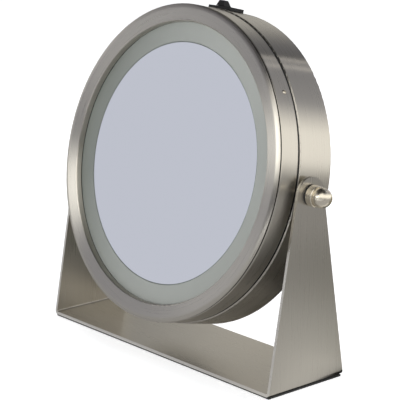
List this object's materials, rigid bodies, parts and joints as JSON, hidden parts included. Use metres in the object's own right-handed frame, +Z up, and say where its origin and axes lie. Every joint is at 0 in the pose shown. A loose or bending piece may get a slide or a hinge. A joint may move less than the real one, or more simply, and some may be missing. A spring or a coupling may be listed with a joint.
{
  "type": "lighted vanity mirror",
  "caption": "Tabletop lighted mirror: a round brushed metal drum head with a frosted light ring round its mirror tilts between the arms of a bent sheet metal stand on clamping knobs.",
  "frame": {"origin": "centre of the underside of the base pad, on the table and under the pivot axis", "axes": "+Z up, +X to the right along the pivot axis, -Y towards the user, where the mirror faces"},
  "size_m": [0.2618, 0.0944, 0.2399],
  "materials": {
    "satin_nickel": "satin brushed nickel plate on sheet steel",
    "polished_nickel": "polished nickel plate",
    "pad_rubber": "matt black rubber",
    "black_plastic": "moulded black plastic",
    "white_plastic": "moulded white plastic",
    "frosted_glass": "acid-frosted float glass with a green cast",
    "mirror_glass": "silvered glass",
    "foam_tape": "white foam tape",
    "circuit_board": "green solder mask",
    "lamp_lens": "yellow phosphor under clear resin",
    "spring_steel": "bright plated steel",
    "brass": "turned brass",
    "cell_wrap": "printed film on a steel can, left plain",
    "lead_sleeve": "soft red wire sleeve"
  },
  "bodies": {
    "stand": {"stand_bracket": "satin_nickel", "base_pad": "pad_rubber"},
    "head": {"front_bezel": "satin_nickel", "glass_gasket": "pad_rubber", "frosted_ring": "frosted_glass", "mirror_disc": "mirror_glass", "mirror_tape": "foam_tape", "chassis": "black_plastic", "light_channel": "white_plastic", "lamp_board": "circuit_board", "lamps": "lamp_lens", "seam_ring": "pad_rubber", "middle_band": "satin_nickel", "band_screws": "polished_nickel", "rear_shell": "satin_nickel", "back_screws": "polished_nickel", "battery_tray": "black_plastic", "battery_contacts": "spring_steel", "battery_springs": "spring_steel", "battery_cells": "cell_wrap", "driver_board": "circuit_board", "driver_parts": "black_plastic", "switch_housing": "black_plastic", "switch_lugs": "spring_steel", "switch_leads": "lead_sleeve", "battery_leads": "lead_sleeve", "lamp_leads": "lead_sleeve", "right_insert": "brass", "left_insert": "brass", "right_spacer": "polished_nickel", "left_spacer": "polished_nickel"},
    "right_washer": {"right_washer": "pad_rubber"},
    "right_knob": {"right_knob": "polished_nickel", "right_stud": "spring_steel"},
    "left_washer": {"left_washer": "pad_rubber"},
    "left_knob": {"left_knob": "polished_nickel", "left_stud": "spring_steel"},
    "switch_button": {"switch_button": "black_plastic"},
    "battery_door": {"battery_door": "black_plastic"}
  },
  "joints": [
    {"name": "head_tilt", "type": "hinge", "parent": "stand", "child": "head", "pos_m": [0, 0, 0.12925], "axis": [1, 0, 0], "continuous": true},
    {"name": "right_washer_shift", "type": "slide", "parent": "head", "child": "right_washer", "axis": [1, 0, 0], "range_m": [0, 0.002]},
    {"name": "right_knob_turn", "type": "hinge", "parent": "right_washer", "child": "right_knob", "pos_m": [0.1213, 0, 0.12925], "axis": [1, 0, 0], "range_deg": [0, 720]},
    {"name": "left_washer_shift", "type": "slide", "parent": "head", "child": "left_washer", "axis": [-1, 0, 0], "range_m": [0, 0.002]},
    {"name": "left_knob_turn", "type": "hinge", "parent": "left_washer", "child": "left_knob", "pos_m": [-0.1213, 0, 0.12925], "axis": [-1, 0, 0], "range_deg": [0, 720]},
    {"name": "switch_slide", "type": "slide", "parent": "head", "child": "switch_button", "axis": [1, 0, 0], "range_m": [0, 0.0056]},
    {"name": "battery_door_pull", "type": "slide", "parent": "head", "child": "battery_door", "axis": [0, 0.9748, -0.2233], "range_m": [0, 0.03]}
  ],
  "couplings": [
    {"joint": "right_knob_turn", "follows": "right_washer_shift", "rad_per_m": 6283.2},
    {"joint": "left_knob_turn", "follows": "left_washer_shift", "rad_per_m": 6283.2}
  ]
}
